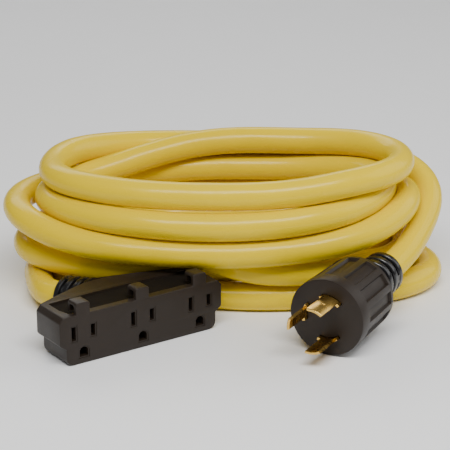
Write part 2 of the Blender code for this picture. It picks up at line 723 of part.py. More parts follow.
def main():
    clear_scene()
    head = add_object("head_frame", None, None)
    face_cover(head)
    rear_moulding(head)
    contact_carrier(head)
    contact_retainer(head)
    head_wiring(head)
    neck = add_object("neck_frame", None, None)
    neck.matrix_world = NECK
    strain_relief("head_strain_relief", neck, GAP, NECK_LENGTH, NECK_RADIUS, 4)
    neck_end = GAP + NECK_LENGTH
    jacket_end("head_jacket_end", neck, -JACKET_START, neck_end)
    plug = add_object("plug_frame", None, None)
    plug.location = PLUG_FACE
    plug.rotation_euler = Euler((PLUG_TILT, 0, -PLUG_TURN), "XYZ")
    plug_body(plug)
    blade_carrier(plug)
    for name, middle, width in BLADES:
        blade(plug, name, middle, width)
    plug_wiring(plug)
    plug_end = PLUG_LENGTH + GAP + PLUG_RELIEF
    strain_relief("plug_strain_relief", plug, PLUG_LENGTH + GAP, PLUG_RELIEF, RELIEF_RADIUS, 3)
    coil = add_object("coil_frame", None, None)
    coil.location = COIL_CENTRE
    coil.rotation_euler = Euler((0, 0, COIL_TURN))
    bpy.context.view_layer.update()
    tails = {
        "cord_tail_plug": tail_path(plug, plug_end, PLUG_TAIL, coil),
        "cord_tail_head": tail_path(neck, neck_end, HEAD_TAIL, coil),
    }
    for name, path in tails.items():
        tube(name, path, CORD_RADIUS, "yellow_jacket", coil, resolution=4)
    to_coil = coil.matrix_world.inverted() @ plug.matrix_world
    sleeve = [to_coil @ Vector((0, y, 0)) for y in (PLUG_LENGTH, plug_end)]
    rooms = [(name, path, CORD_RADIUS) for name, path in tails.items() if name != "cord_tail_head"]
    cord_coil(coil, rooms + [("plug_sleeve", sleeve, RELIEF_RADIUS)])


main()
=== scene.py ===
import json
import math

import bmesh
import bpy
import numpy as np
from bpy.props import FloatProperty, FloatVectorProperty, IntProperty, PointerProperty
from mathutils import Euler, Matrix, Vector

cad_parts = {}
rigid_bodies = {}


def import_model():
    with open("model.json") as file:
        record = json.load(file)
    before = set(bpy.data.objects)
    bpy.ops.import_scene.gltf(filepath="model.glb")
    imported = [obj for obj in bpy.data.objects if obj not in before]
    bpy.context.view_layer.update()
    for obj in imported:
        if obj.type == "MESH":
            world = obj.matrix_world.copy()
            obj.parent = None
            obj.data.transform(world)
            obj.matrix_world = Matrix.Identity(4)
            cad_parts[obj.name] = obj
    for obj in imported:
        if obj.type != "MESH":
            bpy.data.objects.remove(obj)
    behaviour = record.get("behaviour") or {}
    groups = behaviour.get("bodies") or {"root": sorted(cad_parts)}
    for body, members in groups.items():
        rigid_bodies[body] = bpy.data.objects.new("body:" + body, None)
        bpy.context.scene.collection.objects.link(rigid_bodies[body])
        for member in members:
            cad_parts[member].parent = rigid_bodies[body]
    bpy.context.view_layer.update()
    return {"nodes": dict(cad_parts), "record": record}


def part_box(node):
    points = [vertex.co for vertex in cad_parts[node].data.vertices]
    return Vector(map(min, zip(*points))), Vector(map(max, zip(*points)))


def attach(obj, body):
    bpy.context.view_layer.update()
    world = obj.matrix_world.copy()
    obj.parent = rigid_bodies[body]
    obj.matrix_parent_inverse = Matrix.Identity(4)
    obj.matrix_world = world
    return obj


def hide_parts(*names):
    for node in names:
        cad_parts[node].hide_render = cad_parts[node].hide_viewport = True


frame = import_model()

bl_info = {
    "name": "Coiled Power Cord",
    "version": (1, 0, 0),
    "blender": (4, 5, 0),
    "location": "3D View > Sidebar > Power Cord",
    "description": "A coiled yellow power cord with a three-outlet head and a locking plug",
    "category": "Add Mesh",
}

MM = 0.001
MOUNTS = {mount["name"]: mount for mount in frame["record"]["mounts"]}

# ---- outlet head ----
FACE_LOW, FACE_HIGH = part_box("head_face_cover")
FACE_Y = FACE_LOW.y
HEAD_HALF = FACE_HIGH.x
LUG_TOP = FACE_HIGH.z
HEAD_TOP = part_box("head_rear_moulding")[1].z
FACE_BACK = FACE_HIGH.y
OUTLETS = [MOUNTS["outlet_face_" + place]["pos_m"][0] for place in ("left", "middle", "right")]
SLOT_HEIGHT = 19 * MM
SLOT_SIDE = 6.35 * MM
GROUND_HEIGHT = SLOT_HEIGHT - 11.9 * MM
NEUTRAL_SLOT = 8.4 * MM
LINE_SLOT = 7.0 * MM
GROUND_HALF = 2.75 * MM
SLOT_RIM = (0.35 * MM, 0.9 * MM)    # depth and width of the sunken rim round each hole
FOOT_HALF = 50.8 * MM
FOOT_HEIGHT = 10.5 * MM
STEP_TOP = 13.2 * MM
SHOULDER_HEIGHT = 27 * MM
TOP_HALF = 52.2 * MM
LUG_HALF = 4.6 * MM
LUG_CORNER = 1.6 * MM
LUG_FOOT = 0.6 * MM
SIDE_DEPTH = 27 * MM
MIDDLE_DEPTH = 28.5 * MM
MIDDLE_HALF = 18 * MM
LEDGE_DEPTH = 5.2 * MM
TRAY_DEPTH = 1.3 * MM
TRAY_HALF = (46.5 * MM, 48.3 * MM)    # half the sunken panel's width, at its ledge and behind
HOLLOW_MIDDLE = Vector((0, FACE_Y + 20 * MM, 15 * MM))
HOLLOW_SHARE = 0.88    # the shell's hollow, as a share of its outside
NECK_PLACE = Vector((-5 * MM, FACE_Y + 46.5 * MM, 14.5 * MM))
NECK_RADIUS = 14 * MM
# the neck's own axes: its middle, with the cord leaving along +Y
NECK = (Matrix.Translation(NECK_PLACE)
        @ Euler((math.radians(-3.5), 0, math.radians(24))).to_matrix().to_4x4())
NECK_SLEEVE = (0.3 * MM, 21.3 * MM)
NECK_HOLE = 9 * MM
NECK_ARC = (-80, 340)    # where the neck's ring starts and how far round it goes, in degrees

# ---- plug: the face at Y = 0, the cord along +Y ----
PLUG = (Matrix.Translation(MOUNTS["plug_face"]["pos_m"])
        @ Euler((math.radians(1.5), 0, math.radians(-64.3))).to_matrix().to_4x4())
PLUG_RADIUS = 23.25 * MM
PLUG_REAR_RADIUS = 22 * MM
PLUG_LENGTH = 44.5 * MM
PLUG_SLEEVE = (44.8 * MM, 76.8 * MM)
PLUG_SLEEVE_RADIUS = 14.2 * MM
SLEEVE_HOLE = 8.8 * MM
SLEEVE_CHAMFER = 0.8 * MM
RIB_HEIGHT = 3.2 * MM
RIB_CROWN = 1.4 * MM
GROOVE_SHARE = 0.36    # a groove's part of the pitch from rib to rib
WEB_HALF = 2.6 * MM
BLADE_CIRCLE = 13.2 * MM
BLADE_THICK = 1.7 * MM
BLADE_INSIDE = 14 * MM
SHOULDER_OUT = 3.2 * MM    # the wider root's length outside the face
SHOULDER_WIDTH = 1.7 * MM
DIMPLE_CIRCLE = 14.0 * MM
DIMPLE_SIZE = (0.5 * MM, 0.9 * MM, 1.3 * MM)
BLADES = (
    # name, middle of the blade's arc and its width at the root, in degrees
    ("line_blade", 75, 56),
    ("neutral_blade", 280, 56),
    ("ground_blade", 172, 44),
)

# ---- coil: its own axes, with the long side along X ----
COIL = (Matrix.Translation((99.7 * MM, FACE_Y + 60.7 * MM, 0))
        @ Matrix.Rotation(math.radians(-34.8), 4, "Z"))
# where the turns pass the ends of the oval's two axes, in order along the cord:
# side, distance from the middle, height, in millimetres, and how late on the way to it the
# cord rises where that isn't even
STATIONS = (
    ("L", 111, 9), ("B", 62, 8.5), ("R", 129, 8.5), ("F", 50, 8.5), ("L", 108, 9),
    ("B", 50, 9), ("R", 99, 26), ("F", 43, 25), ("L", 98, 26),
    ("B", 56, 26), ("R", 113, 26), ("F", 50, 25.5), ("L", 125, 26),
    ("B", 63, 40), ("R", 111, 59), ("F", 64, 41), ("L", 130, 52),
    ("B", 57, 57), ("R", 101, 64), ("F", 64, 58), ("L", 110, 58),
    ("B", 55, 75, 2.4), ("R", 109, 80), ("F", 57, 75), ("L", 107, 74),
    ("B", 68, 69),
)
QUARTER_STEPS = 14
FULLNESS = 0.93    # under 1, the oval's corners are fuller than an ellipse's
# the cord's two stretches outside the turns, in millimetres, from the turns outwards
HEAD_TAIL = ((-111, -40.5, 10), (-106.5, -50.5, 11.2))
PLUG_TAIL = ((42, 65.5, 68.5), (75, 60, 67.5), (101, 51, 66), (117, 38, 63), (127, 23, 58),
             (128, 8, 51), (121, -8, 42), (112, -23, 33), (103, -38, 27.5))
# and where it runs along the neck's axis and the plug's, in millimetres
NECK_RUN = (-0.5, 8, 16, 21.5, 26)
PLUG_RUN = (82, 77, 69, 61, 53, 45, 39.5)
ROUTE_STEP = 8 * MM
HELD = (30 * MM, 44 * MM)    # the cord's first and last stretch, which don't settle
PUSH, STIFFNESS, RETURN = 0.9, 0.35, 0.01    # how strongly each acts in one round of settling

# ---- stage ----
CAMERA_LENS = 154.8
CAMERA_PLACE = (-549.5 * MM, FACE_Y - 873.3 * MM, 444.2 * MM)
CAMERA_AIM = (-12.2 * MM, FACE_Y - 100.3 * MM, 107.1 * MM)
FLOOR_HALF = 6
FLOOR_DROP = 0.1 * MM
LIGHT_AIM = (0.09, 0.03, 0.03)
KEY_SIZE, KEY_PLACE = (1.1, 0.35), (-0.25, -0.60, 1.05)
FILL_SIZE, FILL_PLACE = (1.2, 0.8), (0.95, -0.45, 0.6)
BACK_SIZE, BACK_PLACE = (1.2, 0.5), (0.4, 0.95, 0.8)


# ---------------------------------------------------------------- settings

class CordSettings(bpy.types.PropertyGroup):
    """Sizes and colour of the cord."""

    diameter: FloatProperty(
        name="Diameter", description="Outside diameter of the cord's jacket",
        default=17 * MM, min=0.004, max=0.03, unit="LENGTH")
    sides: IntProperty(
        name="Sides", description="Number of faces round the cord", default=24, min=8, max=48)
    jacket: FloatVectorProperty(
        name="Jacket", description="Colour of the cord's jacket", subtype="COLOR",
        default=(0.76, 0.54, 0.0), min=0, max=1)
    lay_length: FloatProperty(
        name="Lay", description="Length in which the conductors twist once round in the cord",
        default=110 * MM, min=0.02, max=0.5, unit="LENGTH")


class MouldingSettings(bpy.types.PropertyGroup):
    """Finish of the black mouldings."""

    body: FloatVectorProperty(
        name="Moulding", description="Colour of the head and the plug's grip", subtype="COLOR",
        default=(0.019, 0.0125, 0.008), min=0, max=1)
    sleeve: FloatVectorProperty(
        name="Sleeve", description="Colour of the ribbed sleeves", subtype="COLOR",
        default=(0.006, 0.0055, 0.006), min=0, max=1)
    edge_radius: FloatProperty(
        name="Edge radius", description="Rounding of the head's outer edges",
        default=1.1 * MM, min=0.0001, max=0.003, unit="LENGTH")
    slot_width: FloatProperty(
        name="Slot width", description="Width of the blade slots in the outlets",
        default=2.7 * MM, min=0.001, max=0.004, unit="LENGTH")


class PlugSettings(bpy.types.PropertyGroup):
    """Sizes and colour of the plug."""

    flutes: IntProperty(
        name="Flutes", description="Number of recessed panels round the grip",
        default=12, min=4, max=24)
    flute_depth: FloatProperty(
        name="Flute depth", description="Depth of the recessed panels",
        default=1.5 * MM, min=0.0002, max=0.003, unit="LENGTH")
    blade_reach: FloatProperty(
        name="Blade reach", description="How far the blades stand out of the face",
        default=22 * MM, min=0.01, max=0.03, unit="LENGTH")
    brass: FloatVectorProperty(
        name="Brass", description="Colour of the blades", subtype="COLOR",
        default=(0.77, 0.49, 0.12), min=0, max=1)


class StageSettings(bpy.types.PropertyGroup):
    """The floor and the lights."""

    floor: FloatVectorProperty(
        name="Floor", description="Colour of the floor", subtype="COLOR",
        default=(0.92, 0.92, 0.92), min=0, max=1)
    key_power: FloatProperty(
        name="Key light", description="Power of the main light, in watts", default=18.0, min=0)
    fill_power: FloatProperty(
        name="Fill light", description="Power of the fill light, in watts", default=5.0, min=0)
    world: FloatProperty(
        name="Surroundings", description="Strength of the light from all round", default=0.2, min=0)


# ---------------------------------------------------------------- materials

def shader_group(name, inputs, outputs):
    """A shader node group with named sockets, made once; returns it and whether it is new."""
    found = bpy.data.node_groups.get(name)
    if found:
        return found, False
    group = bpy.data.node_groups.new(name, "ShaderNodeTree")
    for label, kind, default in inputs:
        socket = group.interface.new_socket(label, in_out="INPUT", socket_type=kind)
        socket.default_value = default
    for label, kind in outputs:
        group.interface.new_socket(label, in_out="OUTPUT", socket_type=kind)
    return group, True


def moulded_grain():
    """Fine spark-eroded grain of a moulded surface, with broad soft unevenness in its sheen."""
    group, new = shader_group(
        "Moulded Grain",
        (("Grain Scale", "NodeSocketFloat", 1800.0), ("Cloud Scale", "NodeSocketFloat", 45.0)),
        (("Height", "NodeSocketFloat"), ("Mask", "NodeSocketFloat")))
    if not new:
        return group
    nodes, links = group.nodes, group.links
    inside, outside = nodes.new("NodeGroupInput"), nodes.new("NodeGroupOutput")
    place = nodes.new("ShaderNodeTexCoord")
    grain, cloud = nodes.new("ShaderNodeTexNoise"), nodes.new("ShaderNodeTexNoise")
    grain.inputs["Detail"].default_value = 2.0
    cloud.inputs["Detail"].default_value = 4.0
    links.new(place.outputs["Object"], grain.inputs["Vector"])
    links.new(place.outputs["Object"], cloud.inputs["Vector"])
    links.new(inside.outputs["Grain Scale"], grain.inputs["Scale"])
    links.new(inside.outputs["Cloud Scale"], cloud.inputs["Scale"])
    links.new(grain.outputs["Fac"], outside.inputs["Height"])
    links.new(cloud.outputs["Fac"], outside.inputs["Mask"])
    return group


def colour_drift():
    """Turns a colour a little lighter and darker over the surface."""
    group, new = shader_group(
        "Colour Drift",
        (("Colour", "NodeSocketColor", (1, 1, 1, 1)), ("Scale", "NodeSocketFloat", 30.0),
         ("Amount", "NodeSocketFloat", 0.1)),
        (("Colour", "NodeSocketColor"),))
    if not new:
        return group
    nodes, links = group.nodes, group.links
    inside, outside = nodes.new("NodeGroupInput"), nodes.new("NodeGroupOutput")
    place, noise = nodes.new("ShaderNodeTexCoord"), nodes.new("ShaderNodeTexNoise")
    noise.inputs["Detail"].default_value = 3.0
    centred = nodes.new("ShaderNodeMath")
    centred.operation = "SUBTRACT"
    centred.inputs[1].default_value = 0.5
    swing = nodes.new("ShaderNodeMath")
    swing.operation = "MULTIPLY_ADD"
    swing.inputs[2].default_value = 1.0
    tinted = nodes.new("ShaderNodeHueSaturation")
    links.new(place.outputs["Object"], noise.inputs["Vector"])
    links.new(inside.outputs["Scale"], noise.inputs["Scale"])
    links.new(noise.outputs["Fac"], centred.inputs[0])
    links.new(centred.outputs[0], swing.inputs[0])
    links.new(inside.outputs["Amount"], swing.inputs[1])
    links.new(swing.outputs[0], tinted.inputs["Value"])
    links.new(inside.outputs["Colour"], tinted.inputs["Color"])
    links.new(tinted.outputs["Color"], outside.inputs["Colour"])
    return group


def add_group(nodes, group, **values):
    """Places a group in a material with its own values; names use _ for a space."""
    placed = nodes.new("ShaderNodeGroup")
    placed.node_tree = group
    for name, value in values.items():
        placed.inputs[name.replace("_", " ")].default_value = value
    return placed


def finish_material(name, colour, roughness, metallic=0.0, coat=0.0, grain=1800.0, cloud=45.0,
                    bump=0.02, drift=0.12, drift_scale=30.0, rough_swing=0.12, specular=0.5):
    """A Principled material with drifting colour, cloudy sheen and moulded or rolled grain."""
    found = bpy.data.materials.get(name)
    if found:
        return found
    made = bpy.data.materials.new(name)
    made.use_nodes = True
    nodes, links = made.node_tree.nodes, made.node_tree.links
    shader = nodes["Principled BSDF"]
    shader.inputs["Metallic"].default_value = metallic
    shader.inputs["Specular IOR Level"].default_value = specular
    shader.inputs["Coat Weight"].default_value = coat
    shader.inputs["Coat Roughness"].default_value = 0.08
    tint = add_group(nodes, colour_drift(), Colour=(*colour, 1), Scale=drift_scale, Amount=drift)
    links.new(tint.outputs["Colour"], shader.inputs["Base Color"])
    texture = add_group(nodes, moulded_grain(), Grain_Scale=grain, Cloud_Scale=cloud)
    sheen = nodes.new("ShaderNodeMapRange")
    sheen.inputs["From Min"].default_value = 0.3
    sheen.inputs["From Max"].default_value = 0.7
    sheen.inputs["To Min"].default_value = roughness - rough_swing / 2
    sheen.inputs["To Max"].default_value = roughness + rough_swing / 2
    links.new(texture.outputs["Mask"], sheen.inputs["Value"])
    links.new(sheen.outputs["Result"], shader.inputs["Roughness"])
    raised = nodes.new("ShaderNodeBump")
    raised.inputs["Strength"].default_value = 1.0
    raised.inputs["Distance"].default_value = bump * MM
    links.new(texture.outputs["Height"], raised.inputs["Height"])
    links.new(raised.outputs["Normal"], shader.inputs["Normal"])
    return made


def jacket_material(settings):
    """Glossy vinyl: the conductors' twist shows as a faint wave, and handling leaves dull patches."""
    made = finish_material("Yellow Jacket", settings.jacket, 0.26, coat=0.1, grain=420.0, cloud=28.0,
                           bump=0.03, drift=0.10, drift_scale=22.0, rough_swing=0.10, specular=0.2)
    nodes, links = made.node_tree.nodes, made.node_tree.links
    if "twist" in nodes:
        return made
    shader = nodes["Principled BSDF"]
    twist = nodes.new("ShaderNodeAttribute")
    twist.name = "twist"
    twist.attribute_name = "lay"
    wave = nodes.new("ShaderNodeBump")
    wave.inputs["Strength"].default_value = 1.0
    wave.inputs["Distance"].default_value = 0.10 * MM
    links.new(twist.outputs["Fac"], wave.inputs["Height"])
    grain = shader.inputs["Normal"].links[0].from_node
    links.new(wave.outputs["Normal"], grain.inputs["Normal"])
    return made


def body_material(settings):
    """Satin black-brown vinyl of the head and the plug's grip."""
    return finish_material("Black Moulding", settings.body, 0.44, grain=2600.0, cloud=60.0,
                           bump=0.035, drift=0.22, drift_scale=55.0, rough_swing=0.12, specular=0.3)


def tray_texture_and_shade_material():
    """The coarser, duller texture on the floor of the head's sunken panel, with painted shade: its
    colour is darker than the moulding's.
    """
    # painted shade: this colour is darker than the moulding's, for the shade in the sunken panel
    # under the cord
    return finish_material("Panel Texture And Painted Shade", (0.009, 0.0065, 0.004), 0.85, grain=1100.0, cloud=70.0,
                           bump=0.12, drift=0.3, drift_scale=80.0, specular=0.1)


def finish_tray(piece):
    """Gives the panel's floor its own texture and its painted shade."""
    piece.data.materials.append(tray_texture_and_shade_material())
    for face in piece.data.polygons:
        if face.normal.z > 0.9 and abs(face.center.z - (HEAD_TOP - TRAY_DEPTH)) < 0.1 * MM:
            face.material_index = 1


def sleeve_material(settings):
    """Softer, shinier vinyl of the ribbed sleeves."""
    return finish_material("Ribbed Sleeve", settings.sleeve, 0.26, grain=1500.0, cloud=50.0,
                           bump=0.015, drift=0.2, drift_scale=60.0)


def brass_material(settings):
    """Stamped brass, with fine rolling marks."""
    return finish_material("Brass", settings.brass, 0.24, metallic=1.0, grain=900.0, cloud=160.0,
                           bump=0.02, drift=0.16, drift_scale=140.0, rough_swing=0.16)


# ---------------------------------------------------------------- mesh helpers

def add_piece(name, bm, materials, nodes, smooth_angle=35.0):
    """Makes a finished piece of a bmesh, standing for the given CAD nodes."""
    bmesh.ops.remove_doubles(bm, verts=bm.verts, dist=1e-6)
    bmesh.ops.recalc_face_normals(bm, faces=bm.faces)
    mesh = bpy.data.meshes.new(name)
    bm.to_mesh(mesh)
    bm.free()
    mesh.shade_smooth()
    mesh.set_sharp_from_angle(angle=math.radians(smooth_angle))
    piece = bpy.data.objects.new(name, mesh)
    bpy.context.collection.objects.link(piece)
    for one in materials:
        mesh.materials.append(one)
    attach(piece, "root")
    if nodes:
        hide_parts(*nodes)
    return piece


def rounded(corners, steps=4):
    """A closed outline with its corners rounded; a corner is (x, z) or (x, z, radius)."""
    points = []
    count = len(corners)
    for index, corner in enumerate(corners):
        here = Vector(corner[:2])
        radius = corner[2] if len(corner) > 2 else 0.0
        before = (Vector(corners[index - 1][:2]) - here).normalized()
        after = (Vector(corners[(index + 1) % count][:2]) - here).normalized()
        bend = before.angle(after)
        if not radius or bend > math.radians(179):
            points.append(here)
            continue
        reach = radius / math.tan(bend / 2)
        centre = here + (before + after).normalized() * (radius / math.sin(bend / 2))
        start, end = here + before * reach - centre, here + after * reach - centre
        for step in range(steps + 1):
            share = step / steps
            points.append(centre + start.slerp(end, share) * radius)
    return points


def prism(bm, outline, start, end):
    """An outline in X and Z, extruded from one Y to another; returns its front face."""
    face = bm.faces.new([bm.verts.new((x, start, z)) for x, z in outline])
    grown = bmesh.ops.extrude_face_region(bm, geom=[face])["geom"]
    moved = [item for item in grown if isinstance(item, bmesh.types.BMVert)]
    bmesh.ops.translate(bm, verts=moved, vec=(0, end - start, 0))
    return face


def round_edges(bm, edges, radius, segments=3):
    """Rounds the given edges."""
    bmesh.ops.bevel(bm, geom=edges, offset=radius, offset_type="OFFSET", segments=segments,
                    profile=0.5, affect="EDGES", material=-1, clamp_overlap=True)


def add_box(bm, low, high):
    """Adds a box between two corners and returns its vertices."""
    low, high = Vector(low), Vector(high)
    place = Matrix.Translation((low + high) / 2) @ Matrix.Diagonal((*(high - low), 1))
    return bmesh.ops.create_cube(bm, size=1, matrix=place)["verts"]


def carve(bm, cutter):
    """Cuts one bmesh out of another and returns what is left."""
    solids = []
    for label, shape in (("blank", bm), ("cutter", cutter)):
        bmesh.ops.recalc_face_normals(shape, faces=shape.faces)
        mesh = bpy.data.meshes.new(label)
        shape.to_mesh(mesh)
        shape.free()
        solids.append(bpy.data.objects.new(label, mesh))
        bpy.context.collection.objects.link(solids[-1])
    blank, tool = solids
    boolean = blank.modifiers.new("carve", "BOOLEAN")
    boolean.operation = "DIFFERENCE"
    boolean.solver = "EXACT"
    boolean.object = tool
    result = bmesh.new()
    result.from_object(blank, bpy.context.evaluated_depsgraph_get())
    for solid in solids:
        mesh = solid.data
        bpy.data.objects.remove(solid, do_unlink=True)
        bpy.data.meshes.remove(mesh)
    return result


def turned(bm, profile, steps=64):
    """A closed profile of (radius, distance along Y), turned about the Y axis."""
    ring = [bm.verts.new((radius, along, 0)) for radius, along in profile]
    edges = [bm.edges.new((ring[i - 1], ring[i])) for i in range(len(ring))]
    bmesh.ops.spin(bm, geom=ring + edges, cent=(0, 0, 0), axis=(0, 1, 0), angle=math.tau,
                   steps=steps, use_merge=True)


# ---------------------------------------------------------------- cord

def quarter(start, end):
    """The route from one station of the oval to the next, a quarter of a turn on."""
    across = {"L": -1, "R": 1}
    along = {"F": -1, "B": 1}
    points = []
    for step in range(QUARTER_STEPS):
        share = step / QUARTER_STEPS
        u, v = math.cos(share * math.pi / 2) ** FULLNESS, math.sin(share * math.pi / 2) ** FULLNESS
        if start[0] in across:
            x, y = across[start[0]] * start[1] * u, along[end[0]] * end[1] * v
        else:
            x, y = across[end[0]] * end[1] * v, along[start[0]] * start[1] * u
        late = share ** (end[3] if len(end) > 3 else 1)
        rise = late * late * (3 - 2 * late)
        points.append((x, y, start[2] + (end[2] - start[2]) * rise))
    return points


def smooth_curve(points, per_span):
    """Points along a smooth curve through the given ones."""
    points = np.asarray(points, float)
    padded = np.vstack([2 * points[0] - points[1], points, 2 * points[-1] - points[-2]])
    curve = []
    for index in range(1, len(padded) - 2):
        before, here, there, after = padded[index - 1:index + 3]
        for step in range(per_span):
            t = step / per_span
            curve.append(0.5 * (2 * here + (there - before) * t
                                + (2 * before - 5 * here + 4 * there - after) * t ** 2
                                + (3 * here - before - 3 * there + after) * t ** 3))
    curve.append(points[-1])
    return np.array(curve)


def even_steps(points, step):
    """The same route with its points at even distances."""
    along = np.r_[0, np.cumsum(np.linalg.norm(np.diff(points, axis=0), axis=1))]
    count = int(round(along[-1] / step))
    wanted = np.linspace(0, along[-1], count + 1)
    return np.stack([np.interp(wanted, along, points[:, axis]) for axis in range(3)], axis=1)


def first_route():
    """The cord's route from the head's neck to the plug, before its turns settle."""
    turns = []
    for start, end in zip(STATIONS, STATIONS[1:]):
        turns += quarter(start, end)
    turns.append((0, STATIONS[-1][1], STATIONS[-1][2]))
    local = list(HEAD_TAIL[::-1]) + turns[2:] + list(PLUG_TAIL)
    middle = [COIL @ (Vector(point) * MM) for point in local]
    near = [NECK @ Vector((0, y * MM, 0)) for y in NECK_RUN]
    far = [PLUG @ Vector((0, y * MM, 0)) for y in PLUG_RUN]
    return np.array([list(point) for point in near + middle + far])


def clear_of_head(points, reach):
    """Moves points that lie within reach of the head out over its nearest side."""
    corner_y = FACE_Y + SIDE_DEPTH
    planes = []
    for side in (1, -1):
        planes.append((Vector((side, 0, 0)), Vector((side * HEAD_HALF, 0, 0))))
        neck_side = HEAD_HALF - NECK_RADIUS - side * NECK_PLACE.x
        slope = Vector((side * (NECK_PLACE.y - corner_y), neck_side, 0)).normalized()
        planes.append((slope, Vector((side * HEAD_HALF, corner_y, 0))))
    planes.append((Vector((0, 0, 1)), Vector((0, 0, HEAD_TOP))))
    planes.append((Vector((0, -1, 0)), Vector((0, FACE_Y, 0))))
    planes.append((Vector((0, 1, 0)), Vector((0, NECK_PLACE.y, 0))))
    gaps = np.stack([(points - np.array(base)) @ np.array(way) for way, base in planes], axis=1)
    inside = gaps.max(axis=1) < reach
    nearest = gaps.argmax(axis=1)
    ways = np.array([list(way) for way, _ in planes])
    moved = points.copy()
    moved[inside] += ways[nearest[inside]] * (reach - gaps[inside, nearest[inside]])[:, None]
    return moved


def settle(route, radius, rounds=500):
    """Lets the turns rest beside and on each other, on the floor and round the head."""
    points = route.copy()
    count = len(points)
    thick = np.full(count, radius)
    along = np.arange(count) * ROUTE_STEP
    held_start = int(round(HELD[0] / ROUTE_STEP))
    held_end = int(round(HELD[1] / ROUTE_STEP))
    thick[along < NECK_SLEEVE[1]] = NECK_RADIUS
    beside_plug = along > along[-1] - (PLUG_SLEEVE[1] - PLUG_RUN[-1] * MM)
    thick[beside_plug] = PLUG_SLEEVE_RADIUS + 0.4 * MM
    one, other = np.triu_indices(count, k=int(2.2 * 2 * radius / ROUTE_STEP) + 1)
    wanted = (thick[one] + thick[other]) * 1.005
    free = slice(held_start, count - held_end)
    for _ in range(rounds):
        apart = points[other] - points[one]
        distance = np.linalg.norm(apart, axis=1)
        close = distance < wanted
        push = np.zeros_like(points)
        if close.any():
            short = (wanted[close] - distance[close]) * 0.5
            shove = apart[close] / np.maximum(distance[close], 1e-9)[:, None] * short[:, None]
            hits = np.zeros(count)
            np.add.at(push, one[close], -shove)
            np.add.at(push, other[close], shove)
            np.add.at(hits, one[close], 1)
            np.add.at(hits, other[close], 1)
            push /= np.maximum(hits, 1)[:, None]
        bend = np.zeros_like(points)
        bend[1:-1] = (points[2:] + points[:-2]) / 2 - points[1:-1]
        stiff = np.zeros_like(points)
        stiff[1:-1] = (bend[2:] + bend[:-2]) / 2 - bend[1:-1]
        change = push * PUSH - STIFFNESS * stiff + RETURN * (route - points)
        points[free] += change[free]
        points[free] = clear_of_head(points[free], radius * 1.05)
        points[free, 2] = np.maximum(points[free, 2], radius)
    return points


def tube(name, path, radius, sides, lay_length):
    """A round mesh tube along a path, with the conductors' twist kept as an attribute."""
    bm = bmesh.new()
    rings = []
    frame_up = Vector((0, 0, 1))
    points = [Vector(point) for point in path]
    angles = [math.tau * step / sides for step in range(sides)]
    for index, point in enumerate(points):
        way = (points[min(index + 1, len(points) - 1)] - points[max(index - 1, 0)]).normalized()
        frame_up = (frame_up - way * frame_up.dot(way)).normalized()
        side = way.cross(frame_up)
        rings.append([point + radius * (math.cos(a) * side + math.sin(a) * frame_up) for a in angles])
    corners = [[bm.verts.new(point) for point in ring] for ring in rings]
    for near, far in zip(corners, corners[1:]):
        for index in range(sides):
            bm.faces.new([near[index - 1], near[index], far[index], far[index - 1]])
    bm.faces.new(corners[0])
    bm.faces.new(corners[-1])
    bmesh.ops.recalc_face_normals(bm, faces=bm.faces)
    mesh = bpy.data.meshes.new(name)
    bm.to_mesh(mesh)
    bm.free()
    along = np.r_[0, np.cumsum(np.linalg.norm(np.diff(path, axis=0), axis=1))]
    phase = 3 * (math.tau * along[:, None] / lay_length + np.array(angles)[None, :])
    lay = mesh.attributes.new("lay", "FLOAT", "POINT")
    lay.data.foreach_set("value", (0.5 + 0.5 * np.cos(phase)).ravel())
    mesh.shade_smooth()
    piece = bpy.data.objects.new(name, mesh)
    bpy.context.collection.objects.link(piece)
    return piece


class POWERCORD_OT_cord(bpy.types.Operator):
    """Lay the coiled cord from the head to the plug"""

    bl_idname = "powercord.cord"
    bl_label = "Cord"

    def execute(self, context):
        settings = context.scene.cord_settings
        radius = settings.diameter / 2
        route = even_steps(smooth_curve(first_route(), 3), ROUTE_STEP)
        route = settle(route, radius)
        path = smooth_curve(route, 2)
        cord = tube("cord_run", path, radius, settings.sides, settings.lay_length)
        cord.data.materials.append(jacket_material(settings))
        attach(cord, "root")
        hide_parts("cord_coil", "cord_tail_head", "cord_tail_plug",
                    "head_jacket_end", "plug_jacket_end")
        plug_pieces = [item for item in context.scene.objects if item.name.startswith("plug_")
                       and not item.hide_render]
        plug_pieces += [item for item in context.scene.objects
                        if item.name.split("_")[0] in ("line", "neutral", "ground")
                        and ("plug" in item.name or "blade" in item.name) and not item.hide_render]
        return {"FINISHED"}


# ---------------------------------------------------------------- outlet head

def head_outline(lugs):
    """The head's front outline, closed, with rounded corners; lugs stand on its top edge."""
    right = [(FOOT_HALF, 0, 4.5 * MM), (FOOT_HALF, FOOT_HEIGHT, 0.8 * MM),
             (HEAD_HALF, STEP_TOP, 2 * MM), (HEAD_HALF, SHOULDER_HEIGHT, 1.6 * MM),
             (TOP_HALF, HEAD_TOP, 1.6 * MM)]
    if lugs:
        for x in (OUTLETS[2], OUTLETS[1]):
            outer, inner = x + LUG_HALF, x - LUG_HALF
            right += [(outer, HEAD_TOP, LUG_FOOT), (outer, LUG_TOP, LUG_CORNER)]
            if x > 0:
                right += [(inner, LUG_TOP, LUG_CORNER), (inner, HEAD_TOP, LUG_FOOT)]
    left = [(-corner[0], *corner[1:]) for corner in right[::-1]]
    return rounded(right + left)


def ground_outline(x, grow):
    """A ground hole: flat below and round above."""
    half = GROUND_HALF + grow
    low, top = GROUND_HEIGHT - 2.95 * MM - grow, GROUND_HEIGHT + 0.2 * MM
    arch = []
    for step in range(11):
        angle = math.pi * step / 10
        arch.append(Vector((x + half * math.cos(angle), top + half * math.sin(angle))))
    return [Vector((x - half, low)), Vector((x + half, low))] + arch


